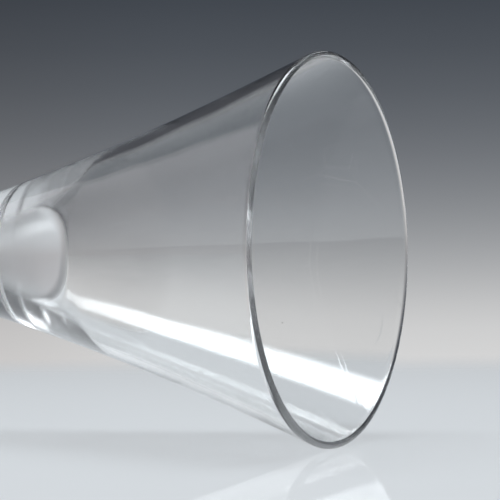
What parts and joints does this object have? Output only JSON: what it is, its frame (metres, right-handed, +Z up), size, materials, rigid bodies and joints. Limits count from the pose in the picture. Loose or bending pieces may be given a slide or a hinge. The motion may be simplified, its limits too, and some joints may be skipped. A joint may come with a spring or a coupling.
{
  "type": "stemmed drinking glass",
  "caption": "Clear stemmed drinking glass with a funnel-shaped bowl on a heavy solid base, a short plain stem and a low conical foot.",
  "frame": {"origin": "centre of the foot, on the surface that the glass stands on", "axes": "+Z up along the glass's axis, from the foot to the rim; X and Y are free, because the glass is round"},
  "size_m": [0.076, 0.076, 0.1301],
  "materials": {
    "bowl_glass": "clear hand-blown glass, fire-polished",
    "stem_glass": "clear solid glass, fire-polished",
    "foot_glass": "clear solid glass, fire-polished"
  },
  "bodies": {
    "root": {"bowl": "bowl_glass", "stem": "stem_glass", "foot": "foot_glass"}
  },
  "joints": []
}
